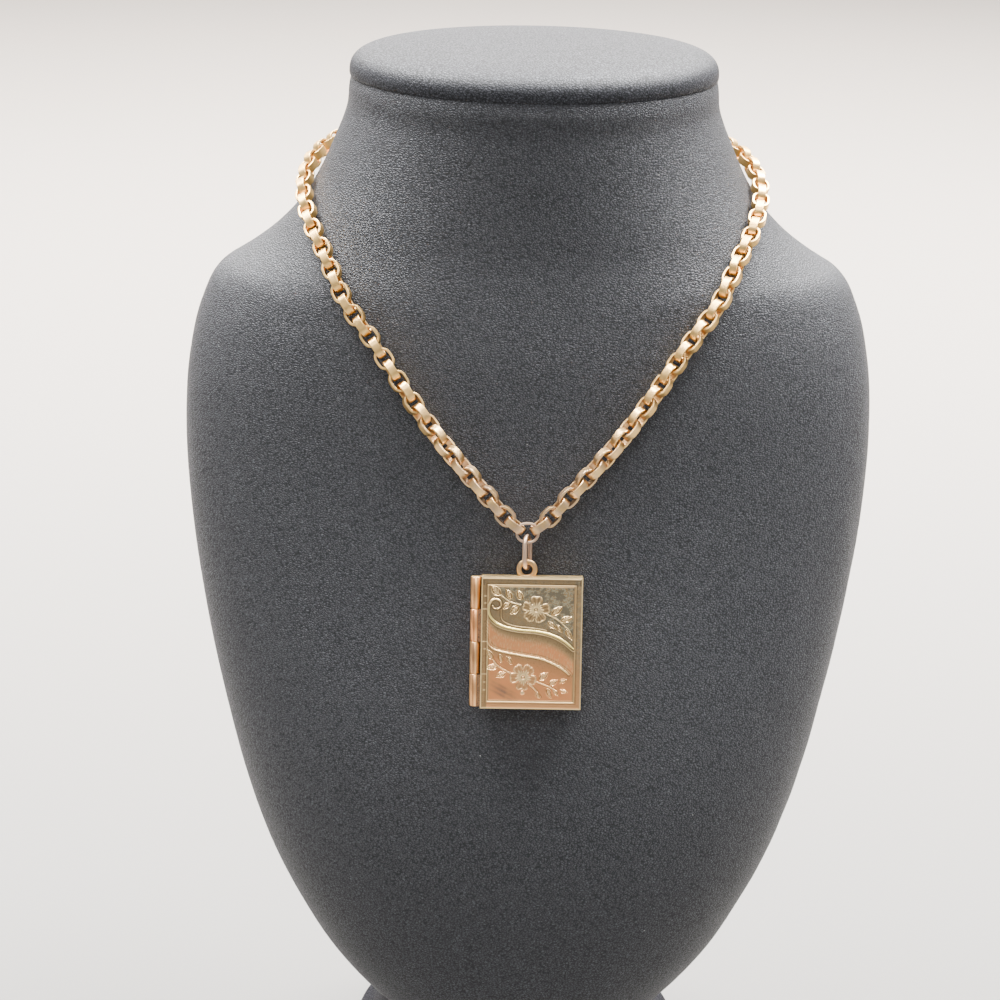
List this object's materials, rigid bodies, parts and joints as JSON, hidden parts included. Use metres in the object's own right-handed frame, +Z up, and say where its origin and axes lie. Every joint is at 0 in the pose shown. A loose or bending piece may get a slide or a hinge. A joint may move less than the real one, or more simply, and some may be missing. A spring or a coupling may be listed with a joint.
{
  "type": "book locket necklace on a neck bust",
  "caption": "Rectangular book locket with a raised flower and ribbon relief, on a belcher chain round a plain covered neck bust.",
  "frame": {"origin": "centre of the foot's underside, where the bust stands", "axes": "+Z up, the chest and the locket face -Y, +X to the right as seen from the front"},
  "size_m": [0.171, 0.1176, 0.2757],
  "materials": {
    "leatherette": "grained charcoal leatherette, satin",
    "pale_gold": "polished pale gold-filled",
    "worn_gold": "dull worn gold-filled",
    "rose_gold": "worn rose gold with brown tarnish"
  },
  "bodies": {
    "stand": {"bust_body": "leatherette", "neck_cap": "leatherette", "bust_foot": "leatherette", "chain_left": "pale_gold", "chain_right": "pale_gold", "centre_link": "worn_gold", "clasp_ring": "pale_gold"},
    "locket": {"jump_ring": "worn_gold", "locket_back": "rose_gold", "hinge_pin": "rose_gold"},
    "cover": {"front_cover": "rose_gold"}
  },
  "joints": [
    {"name": "locket_swing", "type": "hinge", "parent": "stand", "child": "locket", "pos_m": [0, -0.03792, 0.16826], "axis": [-1, 0, 0], "range_deg": [0, 60]},
    {"name": "cover_hinge", "type": "hinge", "parent": "locket", "child": "cover", "pos_m": [-0.0119, -0.04521, 0.14649], "axis": [0, -0.2741, -0.9617], "range_deg": [0, 170]}
  ]
}
